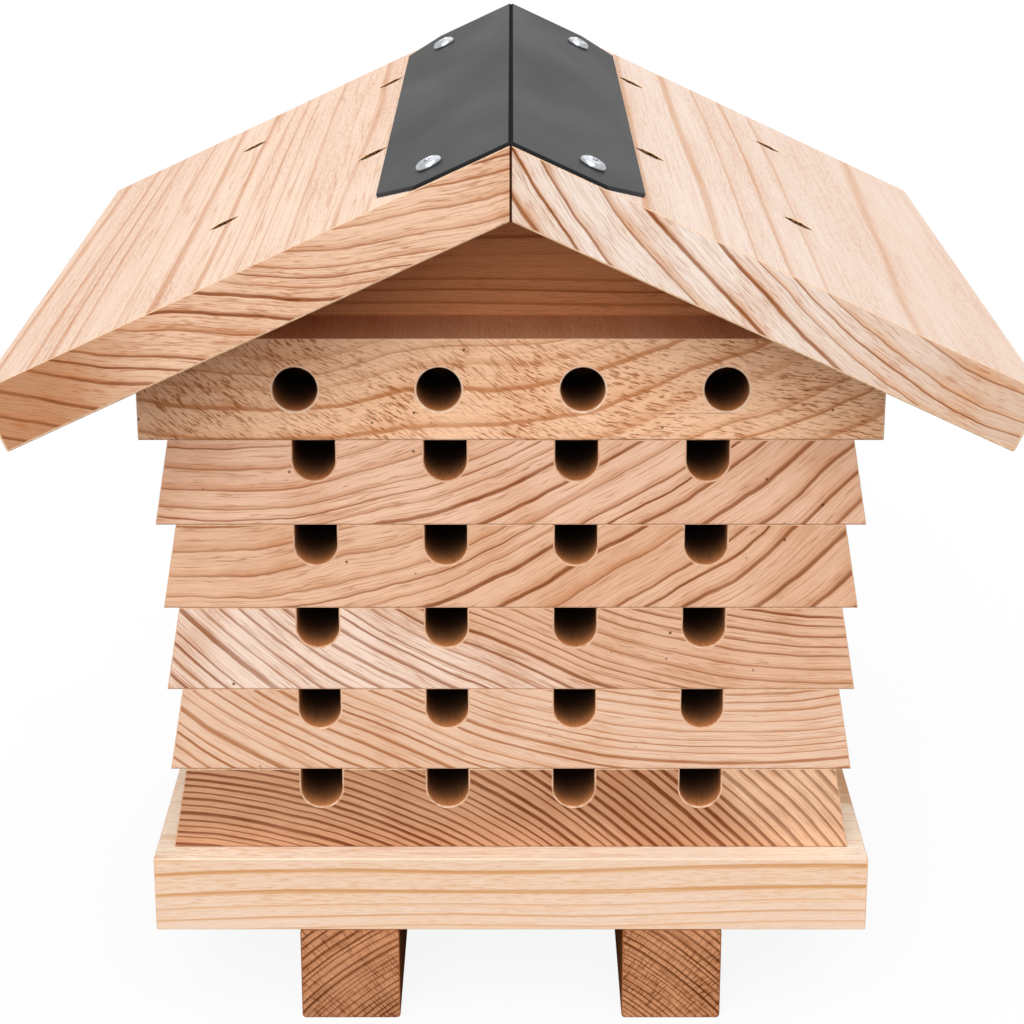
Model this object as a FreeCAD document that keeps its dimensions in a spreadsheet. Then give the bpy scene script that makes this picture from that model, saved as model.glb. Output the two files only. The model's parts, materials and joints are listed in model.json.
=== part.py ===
import FreeCAD, Part
import math
import os
import re
import Sketcher

# A bee hotel of pine: five grooved trays stacked on a footed base, under a block and a pitched roof.
# Millimetres and degrees. X runs across the front, Y from the front to the back, Z up from the ground.
# The origin is on the ground under the middle of the roof.

TRAY_COUNT = 5
TUNNEL_COUNT = 4
PARTS_FOLDER = "parts"

# Driving sizes: name, value and what it measures
SIZES = (
    ("leg_width", 28, "legs, across"),
    ("leg_height", 28, "legs, ground to base board"),
    ("leg_spacing", 91, "legs, centre to centre"),
    ("leg_arris", 1.2, "legs, rounding of the long edges"),
    ("base_width", 200, "base board, across"),
    ("base_thick", 22, "base board, thickness"),
    ("base_lip", 7.5, "base board ahead of the trays and behind them"),
    ("base_arris", 0.5, "base board, rounding of the top edges"),
    ("tray_width", 190, "trays, across their lower edge"),
    ("top_tray_width", 192.6, "uppermost tray, across its lower edge"),
    ("tray_depth", 165, "trays and top block, front to back"),
    ("tray_thick", 24, "trays, thickness"),
    ("tray_lean", 4.2, "trays, how far each side leans in at the top"),
    ("tunnel_width", 11.5, "channels in the trays, across"),
    ("tunnel_sink", 11.5, "channels, depth below the top of the tray"),
    ("tunnel_pitch", 35.3, "channels, centre to centre"),
    ("tunnel_end_wall", 25, "wood left behind the blind end of a channel"),
    ("block_width", 200, "top block, across"),
    ("block_height", 28, "top block, height"),
    ("bore_diameter", 12, "drilled holes in the block"),
    ("bore_pitch", 38.4, "drilled holes, centre to centre"),
    ("bore_end_wall", 25, "wood left behind the blind end of a drilled hole"),
    ("pin_diameter", 8, "locating pins"),
    ("pin_seat", 8, "locating pins, length glued into the lower piece"),
    ("pin_reach", 8, "locating pins, length that stands above it"),
    ("pin_inset", 21, "locating pins, in from the lower edge of a tray"),
    ("pin_tip", 1, "locating pins, bevel at both ends"),
    ("pin_glue_gap", 0.1, "room for glue around a pin"),
    ("pin_slip_gap", 0.3, "room around a pin in the piece that lifts off"),
    ("pin_headroom", 0.5, "room above a pin"),
    ("gable_rise", 42, "gables, height at the ridge"),
    ("gable_thick", 18, "gables, thickness"),
    ("gable_setback", 25, "front gable behind the front of the block"),
    ("rear_setback", 2, "rear gable ahead of the back of the block"),
    ("roof_pitch", 25, "slope of the roof, degrees"),
    ("roof_depth", 250, "roof boards, front to back"),
    ("roof_length", 146.3, "roof boards, ridge to eave along the top"),
    ("roof_thick", 16.8, "roof boards, thickness"),
    ("roof_overhang", 48.8, "roof ahead of the block"),
    ("cap_wing", 36.3, "ridge cap, fold to edge along the slope"),
    ("cap_thick", 1, "ridge cap, sheet thickness"),
    ("cap_inset", 1, "ridge cap, in from both ends of the roof"),
    ("cap_clip_along", 10.5, "ridge cap, corner cut off along the slope"),
    ("cap_clip_back", 12, "ridge cap, corner cut off along the ridge"),
    ("fold_width", 1.2, "ridge cap, width of the scored fold line"),
    ("fold_sink", 0.5, "ridge cap, depth of the scored fold line"),
    ("cap_screw_along_front", 21.6, "front cap screws, from the ridge along the slope"),
    ("cap_screw_along_rear", 22.9, "rear cap screws, from the ridge along the slope"),
    ("cap_screw_front", 16, "front cap screws, from the front end of the cap"),
    ("cap_screw_rear", 28, "rear cap screws, from the rear end of the cap"),
    ("cap_screw_head", 7, "cap screws, head diameter"),
    ("cap_screw_dome", 2.2, "cap screws, head height"),
    ("cap_screw_round", 1.5, "cap screws, rounding of the head"),
    ("cap_screw_shank", 3.5, "cap screws, shank diameter"),
    ("cap_screw_bite", 14, "cap screws, length in the roof board"),
    ("wood_screw_head", 8, "hidden countersunk screws, head diameter"),
    ("wood_screw_cone", 2, "hidden countersunk screws, height of the cone"),
    ("wood_screw_shank", 4, "hidden countersunk screws, shank diameter"),
    ("leg_screw_bite", 18, "leg screws, length in the leg"),
    ("leg_screw_inset", 30, "leg screws, in from the ends of the leg"),
    ("gable_screw_bite", 14, "gable screws, length in the gable"),
    ("screw_gap", 0.1, "room around a screw"),
    ("staple_crown", 6, "staples, length of the crown"),
    ("staple_wire", 1.2, "staples, wire across"),
    ("staple_sink", 0.5, "staples, crown below the surface of the roof"),
    ("staple_bite", 6, "staples, length in the gable"),
    ("staple_ridge", 41.7, "upper staples, from the ridge along the slope"),
    ("staple_toe_front", 20.3, "front lower staples, from the toe of the gable along the slope"),
    ("staple_toe_rear", 17.5, "rear lower staples, from the toe of the gable along the slope"),
    ("staple_gap", 0.15, "room around a staple"),
    ("staple_tear_gap", 2.8, "wood torn away on each side of a staple's crown"),
    ("staple_tear_end", 2, "wood torn to a point past each end of a staple's crown"),
)

# Places and sizes that follow from the driving sizes
FOLLOWING = (
    ("base_depth", "tray_depth + 2 * base_lip"),
    ("tray_front", "roof_overhang - roof_depth / 2"),
    ("base_front", "tray_front - base_lip"),
    ("tray_floor", "leg_height + base_thick"),
    ("block_floor", f"tray_floor + {TRAY_COUNT} * tray_thick"),
    ("gable_floor", "block_floor + block_height"),
    ("gable_run", "gable_rise / tan(roof_pitch)"),
    ("roof_mitre", "roof_thick * tan(roof_pitch)"),
    ("ridge_top", "gable_floor + gable_rise + roof_thick / cos(roof_pitch)"),
    ("pin_across", "tray_width / 2 - pin_inset"),
    ("pin_length", "pin_seat + pin_reach"),
    ("front_gable_middle", "gable_setback + gable_thick / 2"),
    ("rear_gable_front", "tray_depth - rear_setback - gable_thick"),
    ("rear_gable_middle", "rear_gable_front + gable_thick / 2"),
    ("gable_toe", "roof_mitre + gable_rise / sin(roof_pitch)"),
    ("staple_low_front", "gable_toe - staple_toe_front"),
    ("staple_low_rear", "gable_toe - staple_toe_rear"),
    ("staple_leg", "roof_thick - staple_sink + staple_bite"),
    ("cap_screw_first", "cap_inset + cap_screw_front"),
    ("cap_screw_last", "roof_depth - cap_inset - cap_screw_rear"),
)

doc = FreeCAD.newDocument("BeeHotel")
sheet = doc.addObject("Spreadsheet::Sheet", "Sizes")


def fill_sheet():
    """Writes every size into the sheet, one row each: what it measures, then its value under its name."""
    rows = [(name, str(value), note) for name, value, note in SIZES]
    rows += [(name, "=" + rule, "follows from the sizes above") for name, rule in FOLLOWING]
    for number, (name, content, note) in enumerate(rows, start=1):
        sheet.set(f"A{number}", note)
        sheet.set(f"B{number}", content)
        sheet.setAlias(f"B{number}", name)
    doc.recompute()


def linked(rule):
    """Turns a rule in plain size names into one that points at the sheet."""
    names = {name for name, *rest in SIZES + FOLLOWING}
    return re.sub(r"[a-z]\w*", lambda word: ("Sizes." if word[0] in names else "") + word[0], rule)


def value(rule):
    """The number that a rule gives with the present sizes."""
    return float(sheet.evalExpression(linked(rule)))


def bind(item, path, rule):
    """Ties one property of an item to a rule."""
    item.setExpression(path, linked(rule))


def new_body(label, x="0", y="0", z="0"):
    """Starts a sub-part whose own origin lies at the given place."""
    body = doc.addObject("PartDesign::Body", label)
    body.Label = label
    for axis, rule in zip("xyz", (x, y, z)):
        bind(body, "Placement.Base." + axis, rule)
    return body


def new_roof_body(label, side):
    """Starts a sub-part in the frame of one roof slope: origin at the ridge's front, X along the slope."""
    body = new_body(label, y="-roof_depth / 2", z="ridge_top")
    body.Placement.Rotation = FreeCAD.Rotation(FreeCAD.Vector(0, side, 0), value("roof_pitch"))
    bind(body, "Placement.Rotation.Angle", "roof_pitch")
    return body


def new_sketch(body, name, plane, offset="0", tilt_side=0):
    """Starts a sketch on a plane of its body, moved along the plane's normal and tilted to a roof slope."""
    sketch = body.newObject("Sketcher::SketchObject", name)
    support = next(item for item in body.Origin.OriginFeatures if item.Role == plane)
    sketch.AttachmentSupport = [(support, "")]
    sketch.MapMode = "FlatFace"
    if tilt_side:
        turn = FreeCAD.Rotation(FreeCAD.Vector(0, tilt_side, 0), value("roof_pitch"))
        sketch.AttachmentOffset = FreeCAD.Placement(FreeCAD.Vector(0, 0, value(offset)), turn)
        bind(sketch, "AttachmentOffset.Rotation.Angle", "roof_pitch")
    bind(sketch, "AttachmentOffset.Base.z", offset)
    return sketch


def pin_down(sketch, geometry, point, x, y):
    """Fixes one point of a sketch by its distances from the sketch's origin."""
    for kind, rule in (("DistanceX", x), ("DistanceY", y)):
        index = sketch.addConstraint(Sketcher.Constraint(kind, -1, 1, geometry, point, value(rule)))
        bind(sketch, f"Constraints[{index}]", rule)


def draw_outline(sketch, corners):
    """Draws a closed outline of straight lines through corners given as pairs of rules."""
    first = sketch.GeometryCount
    count = len(corners)
    points = [FreeCAD.Vector(value(x), value(y), 0) for x, y in corners]
    for index in range(count):
        sketch.addGeometry(Part.LineSegment(points[index], points[(index + 1) % count]))
    for index in range(count):
        following = first + (index + 1) % count
        sketch.addConstraint(Sketcher.Constraint("Coincident", first + index, 2, following, 1))
    for index, (x, y) in enumerate(corners):
        pin_down(sketch, first + index, 1, x, y)


def draw_rectangle(sketch, x, y, width, height):
    """Draws a rectangle about a middle point."""
    left, right = f"{x} - ({width}) / 2", f"{x} + ({width}) / 2"
    low, high = f"{y} - ({height}) / 2", f"{y} + ({height}) / 2"
    draw_outline(sketch, ((left, low), (right, low), (right, high), (left, high)))


def draw_circle(sketch, x, y, diameter):
    """Draws a circle about a middle point."""
    centre = FreeCAD.Vector(value(x), value(y), 0)
    circle = Part.Circle(centre, FreeCAD.Vector(0, 0, 1), value(diameter) / 2)
    geometry = sketch.addGeometry(circle)
    pin_down(sketch, geometry, 3, x, y)
    index = sketch.addConstraint(Sketcher.Constraint("Diameter", geometry, value(diameter)))
    bind(sketch, f"Constraints[{index}]", diameter)


def draw_channel(sketch, x, low, high, diameter):
    """Draws an upright slot with a half-round bottom, open towards the top edge of a tray."""
    radius = value(diameter) / 2
    middle, top = value(low) + radius, value(high)
    centre = FreeCAD.Vector(value(x), middle, 0)
    left_top, right_top = (FreeCAD.Vector(value(x) + step, top, 0) for step in (-radius, radius))
    left_low, right_low = (FreeCAD.Vector(value(x) + step, middle, 0) for step in (-radius, radius))
    circle = Part.Circle(centre, FreeCAD.Vector(0, 0, 1), radius)
    bottom = sketch.addGeometry(Part.ArcOfCircle(circle, math.pi, 2 * math.pi))
    side = sketch.addGeometry(Part.LineSegment(right_low, right_top))
    lid = sketch.addGeometry(Part.LineSegment(right_top, left_top))
    back = sketch.addGeometry(Part.LineSegment(left_top, left_low))
    for before, after in ((side, lid), (lid, back)):
        sketch.addConstraint(Sketcher.Constraint("Coincident", before, 2, after, 1))
    sketch.addConstraint(Sketcher.Constraint("Tangent", bottom, 2, side, 1))
    sketch.addConstraint(Sketcher.Constraint("Tangent", back, 2, bottom, 1))
    sketch.addConstraint(Sketcher.Constraint("Vertical", side))
    sketch.addConstraint(Sketcher.Constraint("Horizontal", lid))
    index = sketch.addConstraint(Sketcher.Constraint("Diameter", bottom, value(diameter)))
    bind(sketch, f"Constraints[{index}]", diameter)
    pin_down(sketch, bottom, 3, x, f"{low} + ({diameter}) / 2")
    index = sketch.addConstraint(Sketcher.Constraint("DistanceY", -1, 1, lid, 1, top))
    bind(sketch, f"Constraints[{index}]", high)


def add_pad(body, sketch, length, backwards=False):
    """Raises a sketch into a solid."""
    pad = body.newObject("PartDesign::Pad", sketch.Name + "_pad")
    pad.Profile = sketch
    pad.Reversed = backwards
    bind(pad, "Length", length)
    doc.recompute()
    return pad


def add_pocket(body, sketch, length, backwards=False, may_miss=False):
    """Cuts a sketch into the body and makes sure that it took wood away, unless it may miss the wood."""
    before = body.Shape.Volume
    pocket = body.newObject("PartDesign::Pocket", sketch.Name + "_pocket")
    pocket.Profile = sketch
    pocket.Reversed = backwards
    bind(pocket, "Length", length)
    doc.recompute()
    if not (may_miss or body.Shape.Volume < before):
        raise RuntimeError(f"{pocket.Name} took nothing away from {body.Label}")
    return pocket


def add_row(body, feature, spacing):
    """Repeats a cut across the front, one for each nesting hole."""
    row = body.newObject("PartDesign::LinearPattern", feature.Name + "_row")
    row.Originals = [feature]
    across = next(item for item in body.Origin.OriginFeatures if item.Role == "X_Axis")
    row.Direction = (across, [""])
    row.Occurrences = TUNNEL_COUNT
    bind(row, "Length", f"{TUNNEL_COUNT - 1} * {spacing}")
    body.Tip = row
    doc.recompute()


def edges_of(feature, wanted):
    """Names of the edges of a feature that pass a test."""
    return [f"Edge{number}" for number, edge in enumerate(feature.Shape.Edges, start=1) if wanted(edge)]


def runs_along(edge, axis):
    """True for a straight edge along one axis of its body."""
    if not isinstance(edge.Curve, Part.Line):
        return False
    return abs(getattr(edge.Curve.Direction, axis)) > 0.999


def is_round(edge):
    """True for a whole circle."""
    return isinstance(edge.Curve, Part.Circle)


def add_fillet(body, feature, edges, radius):
    """Rounds the named edges of a feature."""
    fillet = body.newObject("PartDesign::Fillet", feature.Name + "_round")
    fillet.Base = (feature, edges)
    bind(fillet, "Radius", radius)
    doc.recompute()


def make_leg(label, side):
    """A square batten under the base board, from its front to its back, with rounded long edges."""
    leg = new_body(label, x=f"{side} * leg_spacing / 2", y="base_front")
    section = new_sketch(leg, label + "_section", "XZ_Plane")
    draw_rectangle(section, "0", "leg_height / 2", "leg_width", "leg_height")
    batten = add_pad(leg, section, "base_depth", backwards=True)
    add_fillet(leg, batten, edges_of(batten, lambda edge: runs_along(edge, "y")), "leg_arris")
    places = [("0", row) for row in leg_screw_rows()]
    cut_screw_holes(leg, label, places, "leg_height", "leg_screw_bite + screw_gap", upwards=False)
    return leg


def add_cone(body, kind, name, x, y, low, radii):
    """Adds or takes away an upright cone that stands at a height, with its lower and upper radius."""
    cone = body.newObject(kind, name)
    support = next(item for item in body.Origin.OriginFeatures if item.Role == "XY_Plane")
    cone.AttachmentSupport = [(support, "")]
    cone.MapMode = "FlatFace"
    for path, rule in zip(("Radius1", "Radius2"), radii):
        bind(cone, path, rule)
    bind(cone, "Height", "wood_screw_cone")
    for axis, rule in zip("xyz", (x, y, low)):
        bind(cone, "AttachmentOffset.Base." + axis, rule)
    doc.recompute()


def add_screw_heads(body, kind, name, places, face, upwards, gap):
    """Adds countersunk heads flush with a face, or takes away the seats that they lie in."""
    radii = [f"wood_screw_head / 2 + {gap}", f"wood_screw_shank / 2 + {gap}"]
    low = face if upwards else f"{face} - wood_screw_cone"
    for number, (x, y) in enumerate(places, start=1):
        add_cone(body, kind, f"{name}_{number}", x, y, low, radii if upwards else radii[::-1])


def cut_screw_holes(body, name, places, face, depth, upwards):
    """Cuts clearance holes for screw shanks into a face, or up from it."""
    holes = new_sketch(body, name + "_screw_holes", "XY_Plane", face)
    for x, y in places:
        draw_circle(holes, x, y, "wood_screw_shank + 2 * screw_gap")
    add_pocket(body, holes, depth, backwards=upwards)


def make_wood_screws(label, places, face, length, upwards, y, z):
    """A group of countersunk screws: a cone for each head and a plain shank, all along Z."""
    group = new_body(label, y=y, z=z)
    add_screw_heads(group, "PartDesign::AdditiveCone", label + "_head", places, face, upwards, "0")
    shanks = new_sketch(group, label + "_shanks", "XY_Plane", face)
    for across, back in places:
        draw_circle(shanks, across, back, "wood_screw_shank")
    add_pad(group, shanks, length, backwards=not upwards)
    return group


def pin_places():
    """The left and right locating pins, across and back from the front of a tray."""
    return (("-pin_across", "tray_depth / 2"), ("pin_across", "tray_depth / 2"))


def cut_pin_seats(body, name, top, forward="0"):
    """Cuts the two holes in a top face that the locating pins are glued into."""
    seats = new_sketch(body, name + "_pin_seats", "XY_Plane", top)
    for x, y in pin_places():
        draw_circle(seats, x, f"{y} + {forward}", "pin_diameter + 2 * pin_glue_gap")
    add_pocket(body, seats, "pin_seat")


def cut_pin_sockets(body, name):
    """Cuts the two loose holes in an underside that slip over the pins of the piece below."""
    sockets = new_sketch(body, name + "_pin_sockets", "XY_Plane")
    for x, y in pin_places():
        draw_circle(sockets, x, y, "pin_diameter + 2 * pin_slip_gap")
    add_pocket(body, sockets, "pin_reach + pin_headroom", backwards=True)


def make_pins(label, floor):
    """Two round wooden pins with bevelled ends, standing half out of the piece that carries them."""
    pins = new_body(label, y="tray_front", z=f"{floor} - pin_seat")
    section = new_sketch(pins, label + "_section", "XY_Plane")
    for x, y in pin_places():
        draw_circle(section, x, y, "pin_diameter")
    rods = add_pad(pins, section, "pin_length")
    bevel = pins.newObject("PartDesign::Chamfer", label + "_bevel")
    bevel.Base = (rods, edges_of(rods, is_round))
    bind(bevel, "Size", "pin_tip")
    doc.recompute()
    return pins


def leg_screw_rows():
    """The front and rear leg screws, back from the front of the base board."""
    return ("leg_screw_inset", "base_depth - leg_screw_inset")


def leg_screw_places():
    """Two screws into each leg, across and back from the front of the base board."""
    return [(f"{side} * leg_spacing / 2", row) for side in (-1, 1) for row in leg_screw_rows()]


def make_base_board():
    """The wide board that the stack stands on, with its upper edges eased."""
    board = new_body("base_board", y="base_front", z="leg_height")
    section = new_sketch(board, "base_section", "XZ_Plane")
    draw_rectangle(section, "0", "base_thick / 2", "base_width", "base_thick")
    slab = add_pad(board, section, "base_depth", backwards=True)
    top = value("base_thick")
    add_fillet(board, slab, edges_of(slab, lambda edge: abs(edge.BoundBox.ZMin - top) < 0.01), "base_arris")
    cut_pin_seats(board, "base", "base_thick", "base_lip")
    places = leg_screw_places()
    cut_screw_holes(board, "base", places, "base_thick", "base_thick", upwards=False)
    cone = "PartDesign::SubtractiveCone"
    add_screw_heads(board, cone, "base_seat", places, "base_thick", False, "screw_gap")
    return board


def make_tray(label, number, width):
    """A tray with sides that lean in, four blind round-bottomed channels, and holes for the pins."""
    tray = new_body(label, y="tray_front", z=f"tray_floor + {number - 1} * tray_thick")
    section = new_sketch(tray, label + "_section", "XZ_Plane")
    low, high = f"{width} / 2", f"{width} / 2 - tray_lean"
    upper = ((high, "tray_thick"), (f"-({high})", "tray_thick"))
    draw_outline(section, ((f"-({low})", "0"), (low, "0")) + upper)
    add_pad(tray, section, "tray_depth", backwards=True)
    cut_pin_seats(tray, label, "tray_thick")
    cut_pin_sockets(tray, label)
    channel = new_sketch(tray, label + "_channel", "XZ_Plane")
    leftmost = f"-{TUNNEL_COUNT - 1} * tunnel_pitch / 2"
    draw_channel(channel, leftmost, "tray_thick - tunnel_sink", "tray_thick", "tunnel_width")
    cut = add_pocket(tray, channel, "tray_depth - tunnel_end_wall")
    add_row(tray, cut, "tunnel_pitch")
    return tray


def gable_screw_places():
    """Two screws into each gable, between the drilled holes, across and back from the front of the block."""
    rows = ("front_gable_middle", "rear_gable_middle")
    return [(f"{side} * bore_pitch", row) for row in rows for side in (-1, 1)]


def make_top_block():
    """The drilled block under the roof, with its upper corners planed to the slope of the roof."""
    block = new_body("top_block", y="tray_front", z="block_floor")
    section = new_sketch(block, "block_section", "XZ_Plane")
    draw_rectangle(section, "0", "block_height / 2", "block_width", "block_height")
    add_pad(block, section, "tray_depth", backwards=True)
    corners = new_sketch(block, "block_corners", "XZ_Plane")
    ridge = "block_height + gable_rise"
    for side in (-1, 1):
        out = f"{side} * block_width"
        draw_outline(corners, (("0", ridge), (out, f"{ridge} - block_width * tan(roof_pitch)"), (out, ridge)))
    add_pocket(block, corners, "tray_depth", may_miss=True)
    cut_pin_sockets(block, "block")
    places = gable_screw_places()
    cut_screw_holes(block, "block", places, "0", "block_height", upwards=True)
    add_screw_heads(block, "PartDesign::SubtractiveCone", "block_seat", places, "0", True, "screw_gap")
    bore = new_sketch(block, "block_bore", "XZ_Plane")
    draw_circle(bore, f"-{TUNNEL_COUNT - 1} * bore_pitch / 2", "block_height / 2", "bore_diameter")
    cut = add_pocket(block, bore, "tray_depth - bore_end_wall")
    add_row(block, cut, "bore_pitch")
    return block


def staple_legs(along, gap):
    """Middles of the two legs of a staple along the slope, and the width of the hole for one."""
    reach = "(staple_crown - staple_wire) / 2"
    return (f"{along} - {reach}", f"{along} + {reach}"), f"staple_wire + 2 * {gap}"


def make_gable(label, front, staple_low):
    """A triangular board that carries the roof, with holes for its screws and for the roof staples."""
    gable = new_body(label, y=f"tray_front + {front}", z="gable_floor")
    section = new_sketch(gable, label + "_section", "XZ_Plane")
    draw_outline(section, (("-gable_run", "0"), ("gable_run", "0"), ("0", "gable_rise")))
    add_pad(gable, section, "gable_thick", backwards=True)
    places = [(f"{side} * bore_pitch", "gable_thick / 2") for side in (-1, 1)]
    cut_screw_holes(gable, label, places, "0", "gable_screw_bite + screw_gap", upwards=True)
    for side, name in ((-1, "left"), (1, "right")):
        slots = new_sketch(gable, f"{label}_{name}_staple_holes", "XY_Plane", "gable_rise", side)
        for along in ("staple_ridge", staple_low):
            legs, width = staple_legs(along, "staple_gap")
            for leg in legs:
                draw_rectangle(slots, f"{side} * ({leg} - roof_mitre)", "gable_thick / 2", width, width)
        add_pocket(gable, slots, "staple_bite + staple_gap")
    return gable


def staple_places():
    """Staples of one roof board, along the slope and back from its front, over the middles of the gables."""
    front, rear = "roof_overhang + front_gable_middle", "roof_overhang + rear_gable_middle"
    return (("staple_ridge", front), ("staple_low_front", front),
            ("staple_ridge", rear), ("staple_low_rear", rear))


def cap_screw_places():
    """Front and rear cap screws, along the slope and back from the front of the roof."""
    return (("cap_screw_along_front", "cap_screw_first"), ("cap_screw_along_rear", "cap_screw_last"))


def draw_tear(sketch, side, along, row):
    """Draws the torn slot over a staple's crown: widest along its middle and pointed at both ends."""
    end, flat = "(staple_crown / 2 + staple_tear_end)", "staple_crown / 4"
    wide = "(staple_wire / 2 + staple_tear_gap)"
    corners = ((f"-{end}", "0"), (f"-{flat}", f"-{wide}"), (flat, f"-{wide}"),
               (end, "0"), (flat, wide), (f"-{flat}", wide))
    middle = f"{side} * ({along})"
    draw_outline(sketch, [(f"{middle} + {x}", f"{row} + {y}") for x, y in corners])


def make_roof_board(label, side):
    """A thick board mitred upright at the ridge and cut square at the eave, with holes for its fixings."""
    board = new_roof_body(label, side)
    section = new_sketch(board, label + "_section", "XZ_Plane")
    eave, mitre = f"{side} * roof_length", f"{side} * roof_mitre"
    draw_outline(section, (("0", "0"), (eave, "0"), (eave, "-roof_thick"), (mitre, "-roof_thick")))
    add_pad(board, section, "roof_depth", backwards=True)
    pilots = new_sketch(board, label + "_screw_holes", "XY_Plane")
    for along, row in cap_screw_places():
        draw_circle(pilots, f"{side} * {along}", row, "cap_screw_shank + 2 * screw_gap")
    add_pocket(board, pilots, "cap_screw_bite + screw_gap")
    crowns = new_sketch(board, label + "_staple_crowns", "XY_Plane")
    legs_through = new_sketch(board, label + "_staple_legs", "XY_Plane")
    for along, row in staple_places():
        legs, width = staple_legs(along, "staple_gap")
        draw_tear(crowns, side, along, row)
        for leg in legs:
            draw_rectangle(legs_through, f"{side} * ({leg})", row, width, width)
    add_pocket(board, crowns, "staple_sink + staple_wire")
    add_pocket(board, legs_through, "roof_thick")
    return board


def make_staples(label, side):
    """Four wire staples in one roof board, crowns along the slope and sunk below its surface."""
    group = new_roof_body(label, side)
    crowns = new_sketch(group, label + "_crowns", "XY_Plane", "-staple_sink")
    prongs = new_sketch(group, label + "_prongs", "XY_Plane", "-staple_sink")
    for along, row in staple_places():
        legs, width = staple_legs(along, "0")
        draw_rectangle(crowns, f"{side} * ({along})", row, "staple_crown", "staple_wire")
        for leg in legs:
            draw_rectangle(prongs, f"{side} * ({leg})", row, width, width)
    add_pad(group, crowns, "staple_wire", backwards=True)
    add_pad(group, prongs, "staple_leg", backwards=True)
    return group


def make_ridge_cap():
    """A sheet folded over the ridge along a scored line, with four clipped corners and four screw holes."""
    cap = new_body("ridge_cap", y="cap_inset - roof_depth / 2", z="ridge_top")
    section = new_sketch(cap, "cap_section", "XZ_Plane")
    length = "(roof_depth - 2 * cap_inset)"
    edge_x, edge_z = "cap_wing * cos(roof_pitch)", "-cap_wing * sin(roof_pitch)"
    over_x, over_z = "cap_thick * sin(roof_pitch)", "cap_thick * cos(roof_pitch)"
    crest = "cap_thick / cos(roof_pitch)"
    shoulder = f"{crest} - fold_width / 2 * tan(roof_pitch)"
    outline = (
        ("0", "0"),
        (edge_x, edge_z),
        (f"{edge_x} + {over_x}", f"{edge_z} + {over_z}"),
        ("fold_width / 2", shoulder),
        ("0", f"{crest} - fold_sink"),
        ("-fold_width / 2", shoulder),
        (f"-({edge_x} + {over_x})", f"{edge_z} + {over_z}"),
        (f"-({edge_x})", edge_z),
    )
    draw_outline(section, outline)
    add_pad(cap, section, length, backwards=True)
    clips = new_sketch(cap, "cap_clips", "XY_Plane", "cap_wing")
    start = "(cap_wing - cap_clip_along) * cos(roof_pitch)"
    for side in (-1, 1):
        inner, outer = f"{side} * {start}", f"{side} * cap_wing"
        slant = "cap_clip_back * (cap_wing - " + start + ") / (cap_clip_along * cos(roof_pitch))"
        draw_outline(clips, ((inner, "0"), (outer, "0"), (outer, slant)))
        draw_outline(clips, ((inner, length), (outer, length), (outer, f"{length} - {slant}")))
    add_pocket(cap, clips, "3 * cap_wing")
    for side, name in ((-1, "left"), (1, "right")):
        holes = new_sketch(cap, f"cap_{name}_screw_holes", "XY_Plane", "0", side)
        for along, row in cap_screw_places():
            draw_circle(holes, f"{side} * {along}", f"{row} - cap_inset", "cap_screw_shank + 2 * screw_gap")
        add_pocket(cap, holes, "cap_thick + screw_gap", backwards=True)
    return cap


def make_cap_screws(label, side):
    """Two pan-head screws through the cap into one roof board."""
    group = new_roof_body(label, side)
    heads = new_sketch(group, label + "_heads", "XY_Plane", "cap_thick")
    shanks = new_sketch(group, label + "_shanks", "XY_Plane", "cap_thick")
    for along, row in cap_screw_places():
        draw_circle(heads, f"{side} * {along}", row, "cap_screw_head")
        draw_circle(shanks, f"{side} * {along}", row, "cap_screw_shank")
    discs = add_pad(group, heads, "cap_screw_dome")
    top = value("cap_thick + cap_screw_dome")
    rims = edges_of(discs, lambda edge: is_round(edge) and edge.BoundBox.ZMin > top - 0.01)
    add_fillet(group, discs, rims, "cap_screw_round")
    add_pad(group, shanks, "cap_thick + cap_screw_bite", backwards=True)
    return group


def build_all():
    """Makes every sub-part, from the ground up, and returns them."""
    made = [make_base_board(), make_leg("left_leg", -1), make_leg("right_leg", 1)]
    leg_screw_length = "base_thick + leg_screw_bite"
    made.append(make_wood_screws("leg_screws", leg_screw_places(), "base_thick", leg_screw_length,
                                 False, "base_front", "leg_height"))
    made.append(make_pins("base_pins", "tray_floor"))
    for number in range(1, TRAY_COUNT + 1):
        width = "top_tray_width" if number == TRAY_COUNT else "tray_width"
        made.append(make_tray(f"tray_{number}", number, width))
        made.append(make_pins(f"tray_{number}_pins", f"(tray_floor + {number} * tray_thick)"))
    made.append(make_top_block())
    made.append(make_gable("front_gable", "gable_setback", "staple_low_front"))
    made.append(make_gable("rear_gable", "rear_gable_front", "staple_low_rear"))
    gable_screw_length = "block_height + gable_screw_bite"
    made.append(make_wood_screws("gable_screws", gable_screw_places(), "0", gable_screw_length,
                                 True, "tray_front", "block_floor"))
    for side, name in ((-1, "left"), (1, "right")):
        made.append(make_roof_board(f"{name}_roof_board", side))
        made.append(make_staples(f"{name}_roof_staples", side))
        made.append(make_cap_screws(f"{name}_cap_screws", side))
    made.append(make_ridge_cap())
    return made


def check_and_write(made):
    """Stops at a failed object or a bad shape, and otherwise writes one file for each sub-part."""
    for item in doc.Objects:
        if "Invalid" in item.State or "Error" in item.State:
            raise RuntimeError(f"{item.Label} did not build: {item.State}")
    for item in made:
        if item.Shape.isNull() or not item.Shape.isValid() or not item.Shape.Solids:
            raise RuntimeError(f"{item.Label} has no sound shape")
    os.makedirs(PARTS_FOLDER, exist_ok=True)
    for item in made:
        item.Shape.exportStep(f"{PARTS_FOLDER}/{item.Label}.step")
        print(f"{item.Label}: {len(item.Shape.Solids)} solids, {item.Shape.Volume:.0f} cubic mm")


fill_sheet()
pieces = build_all()
doc.recompute()
check_and_write(pieces)
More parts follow.
